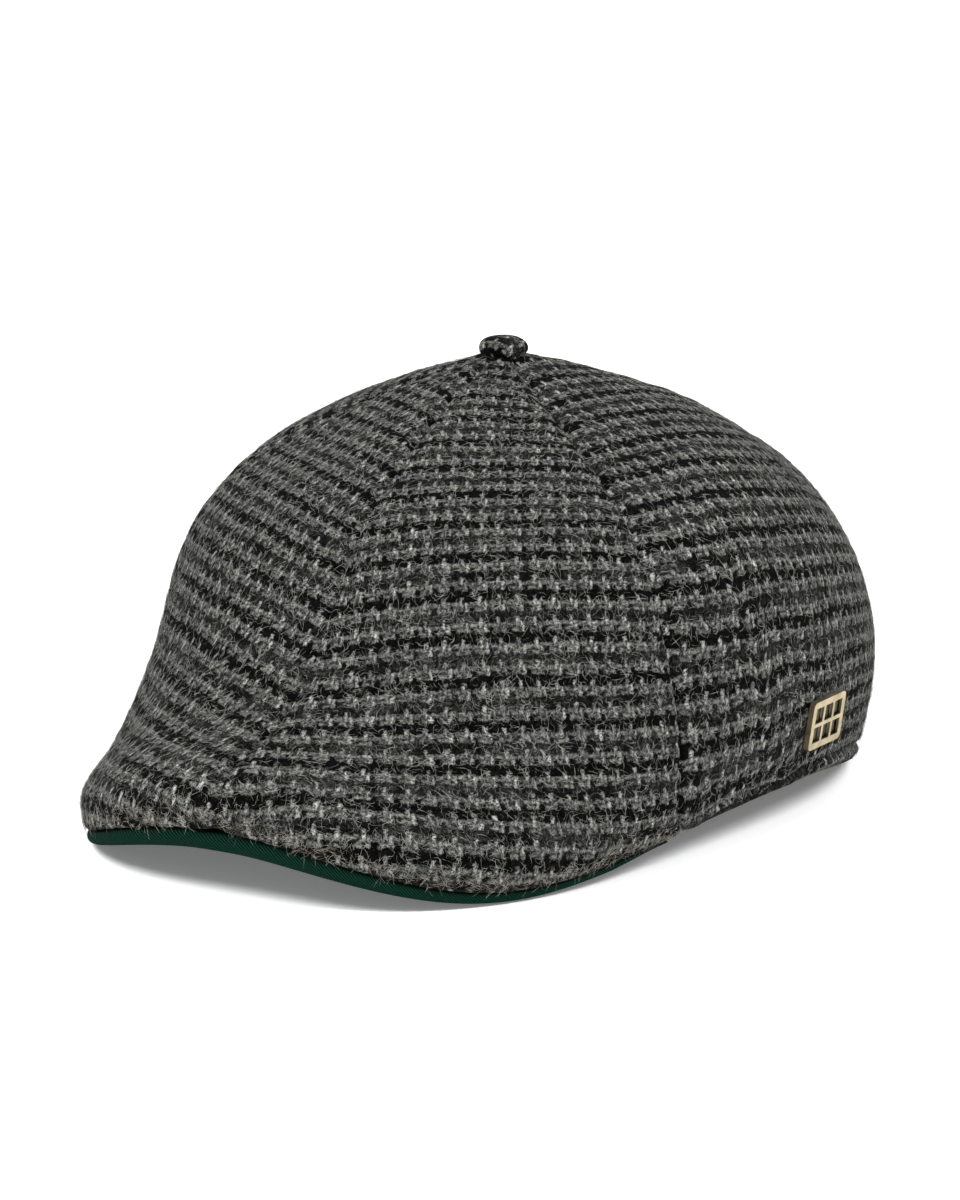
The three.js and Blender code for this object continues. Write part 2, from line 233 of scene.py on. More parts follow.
def lay_flat(points):
    """Flattens a grid of points with as little stretch as it can; returns (across, along).

    Each triangle keeps its own shape, laid in its own plane. In turns, every triangle is turned to suit the
    flat points, and the flat points are then placed to suit all the triangles.
    """
    rows, columns = points.shape[:2]
    flat_points = points.reshape(-1, 3)
    index = np.arange(rows * columns).reshape(rows, columns)
    one = np.stack([index[:-1, :-1], index[1:, :-1], index[1:, 1:]], -1).reshape(-1, 3)
    two = np.stack([index[:-1, :-1], index[1:, 1:], index[:-1, 1:]], -1).reshape(-1, 3)
    triangles = np.concatenate([one, two])

    # Each triangle in its own plane, and the weight of each of its sides.
    a, b, c = (flat_points[triangles[:, k]] for k in range(3))
    base = np.linalg.norm(b - a, axis=1)
    x_way = unit(b - a)
    y_way = np.cross(unit(np.cross(b - a, c - a)), x_way)
    zero = np.zeros(len(triangles))
    third = np.stack([((c - a) * x_way).sum(1), ((c - a) * y_way).sum(1)], -1)
    local = np.stack([np.stack([zero, zero], -1), np.stack([base, zero], -1), third], 1)
    weight = np.zeros((len(triangles), 3))
    for k in range(3):
        p = local[:, (k + 1) % 3] - local[:, k]
        q = local[:, (k + 2) % 3] - local[:, k]
        weight[:, k] = (p * q).sum(1) / np.abs(p[:, 0] * q[:, 1] - p[:, 1] * q[:, 0])

    # One system of equations places all the points; it is solved once, with the first point held.
    count = rows * columns
    laplacian = np.zeros((count, count))
    for k in range(3):
        i, j = triangles[:, (k + 1) % 3], triangles[:, (k + 2) % 3]
        np.add.at(laplacian, (i, i), weight[:, k])
        np.add.at(laplacian, (j, j), weight[:, k])
        np.add.at(laplacian, (i, j), -weight[:, k])
        np.add.at(laplacian, (j, i), -weight[:, k])
    laplacian[0, 0] += 1
    solve = np.linalg.inv(laplacian)

    # The first guess takes the lengths along the grid.
    across = path_length(points, 1)
    across -= across[:, -1:] / 2
    along = np.repeat(path_length(points, 0)[:, columns // 2, None], columns, 1)
    flat = np.stack([-across.ravel(), along.ravel()], -1)
    for _ in range(FLAT_ROUNDS):
        stretch = np.zeros((len(triangles), 2, 2))
        for k in range(3):
            i, j = (k + 1) % 3, (k + 2) % 3
            now = flat[triangles[:, i]] - flat[triangles[:, j]]
            rest = local[:, i] - local[:, j]
            stretch += weight[:, k, None, None] * now[:, :, None] * rest[:, None, :]
        left, _, right = np.linalg.svd(stretch)
        left[np.linalg.det(left @ right) < 0, :, 1] *= -1
        turn = left @ right
        pull = np.zeros((count, 2))
        for k in range(3):
            i, j = (k + 1) % 3, (k + 2) % 3
            share = weight[:, k, None] * np.einsum("tab,tb->ta", turn, local[:, i] - local[:, j])
            np.add.at(pull, triangles[:, i], share)
            np.add.at(pull, triangles[:, j], -share)
        pull[0] += flat[0]
        flat = solve @ pull
    return -flat[:, 0].reshape(rows, columns), flat[:, 1].reshape(rows, columns)


def cloth_map(points, grain, side, middle_row):
    """Where each point lies on the cloth, in millimetres, across the rows and up them.

    The third value is the size of the panel laid flat, in metres.
    """
    rows, columns = points.shape[:2]
    row_picks = np.linspace(0, rows - 1, FLAT_ROWS).round().astype(int)
    column_picks = np.linspace(0, columns - 1, FLAT_COLUMNS).round().astype(int)
    across, along = lay_flat(points[np.ix_(row_picks, column_picks)])
    maps = []
    for coarse in (across, along):
        wide = spline(column_picks, coarse.T)
        full = np.stack([wide(j) for j in range(columns)], 1)
        tall = spline(row_picks, full)
        maps.append(np.stack([tall(i) for i in range(rows)], 0))

    # Complex numbers turn, fan and bow the cloth about the middle column.
    place = maps[0] + 1j * maps[1]
    middle = columns // 2
    place -= place[middle_row, middle]
    chord = place[-1, middle] - place[0, middle]
    place *= 1j * abs(chord) / chord
    size = (np.ptp(place.real) * MM, np.ptp(place.imag) * MM)
    place /= GRAIN_UNIT
    bend = complex(grain["fan"] * side, grain["bow"])
    place = (place + bend * place**2) * np.exp(1j * math.radians(grain["tilt"] * side))
    return place.real * GRAIN_UNIT, grain["shift"] - place.imag * GRAIN_UNIT, size


# ---- meshes ----

def add_mesh(name, vertices, faces, kinds, materials, maps):
    """A smooth mesh object from points in millimetres about the button's axis.

    kinds has one material for each face, and maps hold one (u, v) for every corner of every face.
    """
    mesh = bpy.data.meshes.new(name)
    placed = vertices * MM + [0, AXIS_Y, 0]
    mesh.from_pydata([tuple(v) for v in placed], [], [tuple(f) for f in faces])
    for material in materials:
        mesh.materials.append(material)
    mesh.polygons.foreach_set("material_index", np.asarray(kinds, np.int32))
    mesh.polygons.foreach_set("use_smooth", np.full(len(faces), True))
    for map_name, corners in maps.items():
        layer = mesh.uv_layers.new(name=map_name)
        layer.data.foreach_set("uv", np.asarray(corners, np.float32).ravel())
    mesh.update()
    piece = bpy.data.objects.new(name, mesh)
    bpy.context.scene.collection.objects.link(piece)
    return piece


def loop_sheet(name, loops, grain, bake, kinds, materials):
    """A closed piece from loops of points side by side: loops[k, j] is point k of loop j.

    The loop closes on itself, and the two end loops are filled. grain and bake hold (u, v) for each
    point, with one more row so that the loop's last strip has its own; kinds has one material per strip.
    """
    around, count = loops.shape[:2]
    faces, slots, grain_uv, bake_uv = [], [], [], []
    for k in range(around):
        after = (k + 1) % around
        for j in range(count - 1):
            corners = [(k, j), (k + 1, j), (k + 1, j + 1), (k, j + 1)]
            faces.append([k * count + j, after * count + j, after * count + j + 1, k * count + j + 1])
            slots.append(kinds[k])
            grain_uv += [grain[a][b] for a, b in corners]
            bake_uv += [bake[a][b] for a, b in corners]
    for j, strip in zip((0, count - 1), END_STRIPS):
        for k in range((around - 1) // 2):
            near, far = around - 2 - k, around - 1 - k
            ring = [k, far, near, k + 1] if near > k + 1 else [k, far, near]
            if j:
                ring = ring[::-1]
            faces.append([r * count + j for r in ring])
            slots.append(kinds[k])
            grain_uv += [grain[r][j] for r in ring]
            level = 0.02 + 0.96 * 2 * k / around
            step = 0.9 * 2 / around
            for r in ring:
                inward = END_STRIP_WIDTH if r > around // 2 else 0.0
                below = step if r in (k + 1, near) else 0.0
                bake_uv.append((strip + inward, level + below))
    maps = {"Grain": grain_uv, "OFBake": bake_uv}
    return add_mesh(name, loops.reshape(-1, 3), faces, slots, materials, maps)


# ---- node graphs ----

def rgba(colour):
    """The colour with full cover."""
    return tuple(colour) + (1,)


class Graph:
    """Short names for the nodes of one material."""

    def __init__(self, name):
        self.material = bpy.data.materials.new(name)
        self.material.use_nodes = True
        self.tree = self.material.node_tree
        self.tree.nodes.clear()
        self.shader = self.node("ShaderNodeBsdfPrincipled")
        output = self.node("ShaderNodeOutputMaterial")
        self.tree.links.new(self.shader.outputs[0], output.inputs[0])

    def node(self, kind, **settings):
        made = self.tree.nodes.new(kind)
        for key, value in settings.items():
            setattr(made, key, value)
        return made

    def put(self, socket, value):
        if isinstance(value, bpy.types.NodeSocket):
            self.tree.links.new(value, socket)
        else:
            socket.default_value = value

    def math(self, operation, *values):
        made = self.node("ShaderNodeMath", operation=operation)
        for socket, value in zip(made.inputs, values):
            self.put(socket, value)
        return made.outputs[0]

    def add(self, a, b):
        return self.math("ADD", a, b)

    def sub(self, a, b):
        return self.math("SUBTRACT", a, b)

    def mul(self, a, b):
        return self.math("MULTIPLY", a, b)

    def blend(self, share, a, b):
        """a where share is 0, b where it is 1."""
        made = self.node("ShaderNodeMix", data_type="FLOAT")
        self.put(made.inputs[0], share)
        self.put(made.inputs[2], a)
        self.put(made.inputs[3], b)
        return made.outputs[0]

    def blend_colour(self, share, a, b):
        made = self.node("ShaderNodeMix", data_type="RGBA")
        self.put(made.inputs[0], share)
        self.put(made.inputs[6], a)
        self.put(made.inputs[7], b)
        return made.outputs[2]

    def half_wave(self, value):
        """The sine of the value times pi: an arch over each whole step."""
        return self.math("SINE", self.mul(value, math.pi))

    def sharpen(self, value, power):
        """The value's power where it is over 0, or else 0."""
        return self.math("POWER", self.math("MAXIMUM", value, 0.0), power)

    def every_fourth(self, value):
        """How far the value is past a multiple of four."""
        return self.math("FLOORED_MODULO", value, 4.0)

    def scale_range(self, value, low, high, to_low, to_high):
        made = self.node("ShaderNodeMapRange", interpolation_type="SMOOTHSTEP")
        for socket, number in zip(made.inputs, (value, low, high, to_low, to_high)):
            self.put(socket, number)
        return made.outputs[0]

    def place(self, map_name):
        """The two coordinates of a UV map."""
        made = self.node("ShaderNodeUVMap", uv_map=map_name)
        apart = self.node("ShaderNodeSeparateXYZ")
        self.tree.links.new(made.outputs[0], apart.inputs[0])
        return apart.outputs[0], apart.outputs[1]

    def vector(self, x, y, z=0.0):
        made = self.node("ShaderNodeCombineXYZ")
        for socket, value in zip(made.inputs, (x, y, z)):
            self.put(socket, value)
        return made.outputs[0]

    def noise(self, where, scale, detail=2.0, roughness=0.5, distortion=0.0):
        made = self.node("ShaderNodeTexNoise", noise_dimensions="3D")
        self.put(made.inputs["Vector"], where)
        made.inputs["Scale"].default_value = scale
        made.inputs["Detail"].default_value = detail
        made.inputs["Roughness"].default_value = roughness
        made.inputs["Distortion"].default_value = distortion
        return made.outputs[0]

    def random(self, x, y):
        """One random number for each whole x and y."""
        made = self.node("ShaderNodeTexWhiteNoise", noise_dimensions="2D")
        self.put(made.inputs["Vector"], self.vector(x, y))
        return made.outputs[0]

    def here(self):
        """The place on the object, in metres."""
        return self.node("ShaderNodeTexCoord").outputs["Object"]

    def bump(self, height, depth, strength):
        made = self.node("ShaderNodeBump")
        made.inputs["Strength"].default_value = strength
        made.inputs["Distance"].default_value = depth
        self.put(made.inputs["Height"], height)
        self.tree.links.new(made.outputs[0], self.shader.inputs["Normal"])

    def finish(self, **values):
        for key, value in values.items():
            self.put(self.shader.inputs[key.replace("_", " ")], value)
        return self.material


# The locks of hair over the tweed: each layer's own level in the noise, its scale, the number of lines in it
# and how thin they are.
HAIR_LAYERS = [
    (21.0, 0.34, 5.0, 4.0),
    (31.0, 0.50, 4.0, 4.0),
    (43.0, 0.75, 2.6, 4.0),
    (57.0, 1.05, 2.0, 4.0),
    (71.0, 0.60, 3.4, 5.0),
]
DARK_YARN = {"base": 0.004, "greyer": 0.10}
LIGHT_WARP = {"base": 0.40, "spread": 0.53}
LIGHT_WEFT = {"base": 0.30, "spread": 0.12}
PAIR = 1.5  # of every four yarns, the ones up to here are one pair


def drift(g, across, up, scale, depth, level):
    """Two noises that carry a point a little way off."""
    first = g.sub(g.noise(g.vector(across, up, level), scale, 1.0), 0.5)
    second = g.sub(g.noise(g.vector(across, up, level + 40.0), scale, 1.0), 0.5)
    return g.mul(first, depth), g.mul(second, depth)


def locks(g, across, up):
    """Curly hairs, in locks that each run their own way."""
    hairs = 0.0
    for level, scale, count, thin in HAIR_LAYERS:
        field = g.noise(g.vector(across, up, level), scale, 0.5, 0.4, 0.9)
        wave = g.math("SINE", g.mul(field, 2 * math.pi * count))
        patches = g.noise(g.vector(across, up, level + 5.0), 0.7, 0.5)
        shown = g.scale_range(patches, 0.46, 0.60, 0.0, 1.0)
        hairs = g.math("MAXIMUM", hairs, g.mul(g.sharpen(wave, thin), shown))
    return hairs


def tweed_material(name):
    """A 2/2 twill of two light and two dark yarns each way, hairy and a little uneven."""
    g = Graph(name)
    across, up = g.place("Grain")

    # The yarns wander: slowly over the panel, more quickly over a few rows and roughly within one.
    slow = drift(g, across, up, 0.13, 1.6, 0.0)
    quick = drift(g, across, up, 0.9, 1.0, 3.1)
    rough = drift(g, across, up, 2.6, 0.9, 5.7)
    x = g.add(across, g.add(slow[0], g.add(quick[0], rough[0])))
    y = g.add(up, g.add(slow[1], g.add(quick[1], rough[1])))

    # The yarns are counted each way. Where the warp is up, its own tone shows, or else the weft's.
    a = g.mul(x, 1 / WARP_PITCH)
    b = g.mul(y, 1 / WEFT_PITCH)
    warp = g.math("FLOOR", a)
    weft = g.math("FLOOR", b)
    warp_up = g.math("LESS_THAN", g.every_fourth(g.add(warp, weft)), PAIR)
    warp_light = g.math("LESS_THAN", g.every_fourth(warp), PAIR)
    weft_dark = g.math("LESS_THAN", g.every_fourth(g.sub(weft, 1.0)), PAIR)

    # Every other dark row has some grey in it.
    band = g.math("FLOOR", g.mul(g.sub(b, 1.0), 0.25))
    patch = g.noise(g.vector(across, up, 11.0), 0.09, 2.0)
    greyer = g.mul(g.math("FLOORED_MODULO", band, 2.0), g.scale_range(patch, 0.38, 0.62, 0.08, 1.0))
    dark = g.add(DARK_YARN["base"], g.mul(greyer, DARK_YARN["greyer"]))
    light_warp = g.add(LIGHT_WARP["base"], g.mul(g.random(warp, band), LIGHT_WARP["spread"]))
    light_weft = g.add(LIGHT_WEFT["base"], g.mul(g.random(weft, warp), LIGHT_WEFT["spread"]))
    warp_tone = g.blend(warp_light, dark, light_warp)
    weft_tone = g.blend(weft_dark, light_weft, dark)
    yarn = g.blend(warp_up, weft_tone, warp_tone)

    # A yarn floats over two others at a time, and is highest in the middle of the float.
    along_warp = g.mul(g.every_fourth(g.add(b, warp)), 0.5)
    along_weft = g.mul(g.sub(g.every_fourth(g.add(a, weft)), 2.0), 0.5)
    yarn_round = g.blend(warp_up, g.half_wave(g.sub(b, weft)), g.half_wave(g.sub(a, warp)))
    arch = g.sharpen(g.blend(warp_up, g.half_wave(along_weft), g.half_wave(along_warp)), 0.6)
    height = g.mul(g.sharpen(yarn_round, 0.6), g.add(0.35, g.mul(arch, 0.65)))
    # Painted light from the yarn's relief: 1 on the top of each float, falling to 0 in the hollows at its
    # sides and ends, where painted shade goes.
    painted_yarn_light = g.mul(g.sharpen(yarn_round, 1.7), arch)

    # Fibres run along each yarn.
    warp_fibre = g.noise(g.vector(g.mul(x, 4.2), y, 2.0), 1.0, 3.0, 0.65, 0.6)
    weft_fibre = g.noise(g.vector(x, g.mul(y, 4.2), 4.0), 1.0, 3.0, 0.65, 0.6)
    fibre = g.scale_range(g.blend(warp_up, weft_fibre, warp_fibre), 0.32, 0.70, 0.0, 1.0)

    # The yarns make the ground, with painted shade in their hollows, and the hairs over them take their tone,
    # with painted shade in the hollows too.
    ground = g.mul(yarn, g.add(0.01, g.mul(g.math("POWER", fibre, 1.6), 0.30)))
    ground = g.mul(ground, g.add(0.22, g.mul(painted_yarn_light, 1.05)))
    hairs = g.mul(locks(g, across, up), g.add(0.45, g.mul(painted_yarn_light, 0.75)))
    tone = g.add(ground, g.mul(hairs, g.add(0.005, g.mul(yarn, 0.39))))
    warmth = g.noise(g.vector(across, up), 0.5, 1.0)
    tint = g.node("ShaderNodeVectorMath", operation="SCALE")
    g.put(tint.inputs[0], g.blend_colour(warmth, (0.97, 1.0, 0.91, 1), (1.0, 0.99, 0.92, 1)))
    g.put(tint.inputs["Scale"], tone)
    g.bump(g.add(height, g.mul(fibre, 0.3)), 0.0005, 0.9)
    return g.finish(Base_Color=tint.outputs[0], Roughness=0.95, Specular_IOR_Level=0.04)


def plain_cloth_material(name, colour, pitch):
    """A plain-woven backing cloth."""
    g = Graph(name)
    across, up = g.place("Grain")
    weave = g.mul(g.half_wave(g.mul(across, 1 / pitch)), g.half_wave(g.mul(up, 1 / pitch)))
    grit = g.noise(g.vector(across, up), 2.5, 3.0, 0.6)
    g.bump(g.add(g.math("ABSOLUTE", weave), grit), 0.00015, 0.8)
    share = g.scale_range(grit, 0.3, 0.7, 0.0, 1.0)
    tone = g.blend_colour(share, rgba(colour), rgba(1.35 * c for c in colour))
    return g.finish(Base_Color=tone, Roughness=0.85, Specular_IOR_Level=0.2)


# The distance between the twill's ribs, and between its crossing yarns.
TWILL_RIB = 0.84
TWILL_CROSS = 0.5


def twill_material(name):
    """Bottle-green cotton twill with fine slanting ribs, and painted shade between the ribs."""
    g = Graph(name)
    across, up = g.place("Grain")
    wander = g.mul(g.sub(g.noise(g.vector(across, up), 0.5, 2.0), 0.5), 0.4)
    slant = g.add(g.add(g.mul(across, 0.64), g.mul(up, 0.92)), wander)
    rib = g.math("ABSOLUTE", g.half_wave(g.mul(slant, 1 / TWILL_RIB)))
    cross = g.math("ABSOLUTE", g.half_wave(g.mul(g.sub(g.mul(across, 0.5), up), 1 / TWILL_CROSS)))
    grit = g.noise(g.vector(across, up), 3.0, 3.0, 0.6)
    height = g.add(rib, g.add(g.mul(cross, 0.2), g.mul(grit, 0.3)))
    # The tone is partly painted light: lighter on the ribs' tops, with painted shade in the grooves between
    # them; the grit adds a real random unevenness.
    share = g.scale_range(g.mul(rib, g.add(0.65, g.mul(grit, 0.7))), 0.1, 0.95, 0.0, 1.0)
    tone = g.blend_colour(share, (0.0004, 0.0016, 0.0013, 1), (0.0045, 0.0255, 0.0170, 1))
    g.bump(height, 0.0003, 0.9)
    return g.finish(Base_Color=tone, Roughness=0.9, Specular_IOR_Level=0.02)


def hair_material(name, dim, bright):
    """Wool fibre, some lengths of it lighter than others."""
    g = Graph(name)
    where = g.here()
    broad = g.noise(where, 420.0, 2.0)
    fine = g.noise(where, 2500.0, 2.0)
    share = g.scale_range(g.add(g.mul(broad, 0.7), g.mul(fine, 0.3)), 0.35, 0.65, 0.0, 1.0)
    tone = g.blend_colour(share, rgba(dim), rgba(bright))
    return g.finish(Base_Color=tone, Roughness=g.blend(fine, 0.6, 0.9), Specular_IOR_Level=0.2)


def brass_material(name):
    """Old brass, faintly brushed, with duller patches."""
    g = Graph(name)
    where = g.here()
    streak = g.node("ShaderNodeMapping")
    g.put(streak.inputs["Vector"], where)
    streak.inputs["Scale"].default_value = (900, 900, 5000)
    fine = g.noise(streak.outputs[0], 1.0, 3.0, 0.6)
    share = g.scale_range(g.noise(where, 260.0, 2.0), 0.3, 0.7, 0.0, 1.0)
    tone = g.blend_colour(share, (0.26, 0.21, 0.115, 1), (0.38, 0.32, 0.19, 1))
    g.bump(fine, 0.00003, 0.5)
    return g.finish(Base_Color=tone, Roughness=g.scale_range(fine, 0.2, 0.8, 0.24, 0.42), Metallic=1.0)


def enamel_material(name):
    """Glossy black enamel, not quite even."""
    g = Graph(name)
    fine = g.noise(g.here(), 1500.0, 3.0, 0.6)
    tone = g.blend_colour(fine, (0.004, 0.004, 0.005, 1), (0.012, 0.012, 0.013, 1))
    g.bump(fine, 0.00001, 0.3)
    return g.finish(Base_Color=tone, Roughness=g.scale_range(fine, 0.2, 0.8, 0.15, 0.3), Coat_Weight=0.5)


tweed = tweed_material("tweed")
backing = plain_cloth_material("tweed_backing", (0.018, 0.018, 0.019), 0.6)
twill = twill_material("green_twill")
hair = hair_material("wool_hair", (0.04, 0.04, 0.036), (0.42, 0.42, 0.38))
warm_hair = hair_material("warm_wool_hair", (0.085, 0.074, 0.057), (0.44, 0.40, 0.32))
brass = brass_material("antique_brass")
enamel = enamel_material("black_enamel")


# ---- the panels ----

def side_seam(down):
    """The direction of the side seam at a level of the crown, in degrees from the front."""
    return float(ring_curves["side_seam"](down))


def panel_grid(seam_from, seam_to):
    """The crown's outside between two seams, its rows spaced from the top to the fold.

    With the points come each row's share of the way down, the distances to the lower edge, the normals,
    the ways down the panel and the row from which the cloth's rows are counted.
    """
    spread = np.linspace(0, 1, PANEL_COLUMNS)
    spread = spread - COLUMN_CROWDING * np.sin(2 * math.pi * spread) / (2 * math.pi)
    downs = np.linspace(PANEL_TOP, 1, FINE_ROWS)
    fine = np.array([
        crown_row(d, seam_from(d) + (seam_to(d) - seam_from(d)) * spread) for d in downs])
    length = path_length(fine, 0)
    share = np.linspace(0, 1, PANEL_ROWS)
    share = share + ROW_CROWDING * np.sin(math.pi * share) / math.pi
    places = share[:, None] * (length[-1] - FOLD)
    base = np.zeros((PANEL_ROWS, PANEL_COLUMNS, 3))
    for j in range(PANEL_COLUMNS):
        for k in range(3):
            base[:, j, k] = np.interp(places[:, j], length[:, j], fine[:, j, k])
    downward = unit(np.gradient(base, axis=0))
    normal = unit(np.cross(downward, np.gradient(base, axis=1)))
    for j, seam in ((0, seam_from), (-1, seam_to)):
        for i in range(PANEL_ROWS):
            down = float(np.interp(places[i, j], length[:, j], downs))
            normal[i, j] = crown_normal(down, seam(down))
    middle = PANEL_COLUMNS // 2
    halfway = np.interp(GRAIN_START, downs, length[:, middle])
    start_row = int(np.abs(places[:, middle] - halfway).argmin())
    return base, share, length[-1] - places, normal, downward, start_row


def panel_relief(base, to_edge, hem, seed):
    """How far each point stands off the crown: seams, the peak at the button, ripples and the hem."""
    across = path_length(base, 1)
    seam_near = np.minimum(across, across[:, -1:] - across)
    from_axis = np.hypot(base[..., 0], base[..., 1])
    fade = np.clip((to_edge - SEAM_FADE["clear"]) / SEAM_FADE["run_out"], SEAM_FADE["least"], 1)
    fade = fade * np.clip(from_axis / TOP_FADE["width"], TOP_FADE["least"], 1)
    lift = -SEAM["groove"] * fade * hump(seam_near, SEAM["groove_width"])
    lift -= SEAM["valley"] * fade * hump(seam_near, SEAM["valley_width"])
    swell = SEAM["swell"] * hump(seam_near - SEAM["swell_at"], SEAM["swell_width"])
    lift += swell * np.clip(from_axis / TOP_FADE["width"], 0, 1)
    lift += PEAK["rise"] * hump(from_axis, PEAK["width"])
    pucker = ripple(base, seed + 50, **PUCKER) * hump(seam_near, PUCKER_REACH)
    lift += pucker * np.clip(seam_near / PUCKER_CLEAR, 0, 1)
    calm = np.clip(to_edge / RIPPLE_FADE["run_out"], RIPPLE_FADE["least"], 1)
    lift += ripple(base, RIPPLE_SEED, **RIPPLE) * calm
    if hem:
        foot = crown_row(1.0, [side_seam(1.0)])[0, 1]
        deep = np.clip((base[..., 1] - foot) / HEM["run_out"], 0, 1)
        lift -= HEM["groove"] * deep * hump(to_edge - HEM["height"], HEM["groove_width"])
        lift += HEM["swell"] * deep * hump(to_edge - HEM["height"] / 2, HEM["swell_width"])
    return lift


def folded_edge(outer, inner, downward):
    """The lower edge, folded round half a circle from the outside to the inside."""
    radius = np.linalg.norm(outer[-1] - inner[-1], axis=-1) / 2
    centre = (outer[-1] + inner[-1]) / 2
    out = unit(outer[-1] - inner[-1])
    return np.array([
        centre + (out * math.cos(t) + downward[-1] * math.sin(t)) * radius[:, None]
        for t in CURL_ANGLES])


def panel_maps(u, v, share):
    """Where the points of a panel's loops lie on the cloth, and in the map for baking."""
    curl_u = np.repeat(u[-1:], CURL_STEPS, 0)
    curl_v = np.array([v[-1] - t * FOLD for t in CURL_ANGLES])
    grain_u = np.concatenate([u, curl_u, u[::-1], u[:1]])
    grain_v = np.concatenate([v, curl_v, v[::-1], v[:1]])
    outside = BAKE["outside"] - BAKE["outside_height"] * share
    inside = BAKE["inside"] - BAKE["inside_height"] * (1 - share[::-1])
    level = np.concatenate([outside, np.linspace(*BAKE["fold"], CURL_STEPS), inside, [BAKE["close"]]])
    wide = BAKE["left"] + BAKE["width"] * np.linspace(0, 1, PANEL_COLUMNS)
    bake_u, bake_v = np.meshgrid(wide, level)
    return np.stack([grain_u, grain_v], -1), np.stack([bake_u, bake_v], -1)


def panel(name, seam_from, seam_to, grain, side, hem, seed):
    """A panel of tweed with a folded lower edge, drawn in along its seams."""
    base, share, to_edge, normal, downward, start_row = panel_grid(seam_from, seam_to)
    lift = panel_relief(base, to_edge, hem, seed)
    outer = base + normal * lift[..., None]
    inner = base - normal * CLOTH + normal * np.minimum(lift, 0)[..., None] * INSIDE_SHARE
    for sheet in (outer, inner):
        for end, step in ((0, 1), (-1, -2)):
            way = unit(sheet[:, step] - sheet[:, end])
            sheet[:, end] += way * SEAM["gap"]
    loops = np.concatenate([outer, folded_edge(outer, inner, downward), inner[::-1]])
    loops[..., 2] = np.maximum(loops[..., 2], FLOOR_GAP)

    u, v, cut = cloth_map(base, grain, side, start_row)
    on_cloth, on_bake = panel_maps(u, v, share)
    kinds = [0] * (PANEL_ROWS + CURL_STEPS) + [1] * PANEL_ROWS
    piece = loop_sheet(name, loops, on_cloth, on_bake, kinds, [tweed, backing])
    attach(piece, "root")
    return piece, outer, normal, to_edge


# Each panel's node, its two seams, its grain, its side and whether it has a stitched hem.
PANELS = [
    ("front_panel_left", lambda d: 0.0, side_seam, FRONT_GRAIN, 1, False),
    ("front_panel_right", lambda d: -side_seam(d), lambda d: 0.0, FRONT_GRAIN, -1, False),
    ("rear_panel_left", side_seam, lambda d: BACK_SEAM, REAR_GRAIN, 1, True),
    ("rear_panel_right", lambda d: -BACK_SEAM, lambda d: -side_seam(d), REAR_GRAIN, -1, True),
    ("back_panel", lambda d: BACK_SEAM, lambda d: 360 - BACK_SEAM, BACK_GRAIN, 1, True),
]
sheets = {}
for number, (node, seam_from, seam_to, grain, side, hem) in enumerate(PANELS):
    piece, outer, normal, to_edge = panel("tweed_" + node, seam_from, seam_to, grain, side, hem, 100 + number)
    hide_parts(node)
    sheets[node] = (outer, normal, to_edge)


# ---- loose wool fibres ----

HAIR = {"shortest": 2.0, "longest": 6.0, "thick": 0.075, "steps": 5, "off": 0.06, "rise": 0.40,
        "proud_share": 0.06, "proud_rise": 2.0, "floor_gap": 0.15}
HAIR_CORNERS = (0.5, 2.6, 4.7)  # the angles of a thread's three corners
HAIR_COUNTS = {
    "front_panel_left": 6200,
    "front_panel_right": 6200,
    "rear_panel_left": 5200,
    "rear_panel_right": 4200,
    "back_panel": 1700,
}
# Along the front edge the fibres are denser, lie more level and are partly warm in colour.
FRONT_EDGE = {"dense": 5.0, "density": 2.8, "level": 7, "curl": 0.45, "warm": 5.5, "warm_share": 0.6}


def fibre_roots(rng, outer, to_edge, count, front):
    """Random places on a panel: the cell of each, its point and the way across it."""
    across, down, area = cells(outer)
    area[:, :1] = 0
    area[:, -1:] = 0
    if front:
        area = area * np.where(to_edge[:-1, :-1] < FRONT_EDGE["dense"], FRONT_EDGE["density"], 1.0)
    picks = rng.choice(area.size, count, p=(area / area.sum()).ravel())
    i, j = np.unravel_index(picks, area.shape)
    start = outer[i, j] + across[i, j] * rng.random((count, 1)) + down[i, j] * rng.random((count, 1))
    return (i, j), start, unit(across[i, j])


def fibre_paths(rng, start, n, one, by_edge):
    """Curly paths over the cloth. A few are proud: their far end stands up instead of coming down."""
    count, steps = len(start), HAIR["steps"]
    two = np.cross(n, one)
    length = rng.uniform(HAIR["shortest"], HAIR["longest"], count) * rng.uniform(0.6, 1.0, count)
    heading = rng.uniform(0, 2 * math.pi, count)
    level_way = rng.normal(0, 0.6, count) + math.pi * rng.integers(0, 2, count)
    heading = np.where(by_edge, level_way, heading)
    curl = rng.normal(0, 1.6, count) + rng.choice([-1.2, 1.2], count)
    curl = np.where(by_edge, FRONT_EDGE["curl"] * curl, curl)
    rise = HAIR["rise"] * rng.uniform(0.3, 1.0, count) ** 1.5
    proud = rng.random(count) < HAIR["proud_share"]
    rise[proud] *= HAIR["proud_rise"]
    path = np.zeros((count, steps, 3))
    place = start
    for k, t in enumerate(np.linspace(0, 1, steps)):
        angle = heading + curl * t * (1 + 0.6 * math.sin(3 * t))
        if k:
            step = np.cos(angle)[:, None] * one + np.sin(angle)[:, None] * two
            place = place + step * (length / (steps - 1))[:, None]
        lift = HAIR["off"] + np.where(proud, rise * t**0.8, rise * math.sin(math.pi * t) ** 0.8)
        path[:, k] = place + n * lift[:, None]
    path[..., 2] = np.maximum(path[..., 2], HAIR["floor_gap"])
    return path


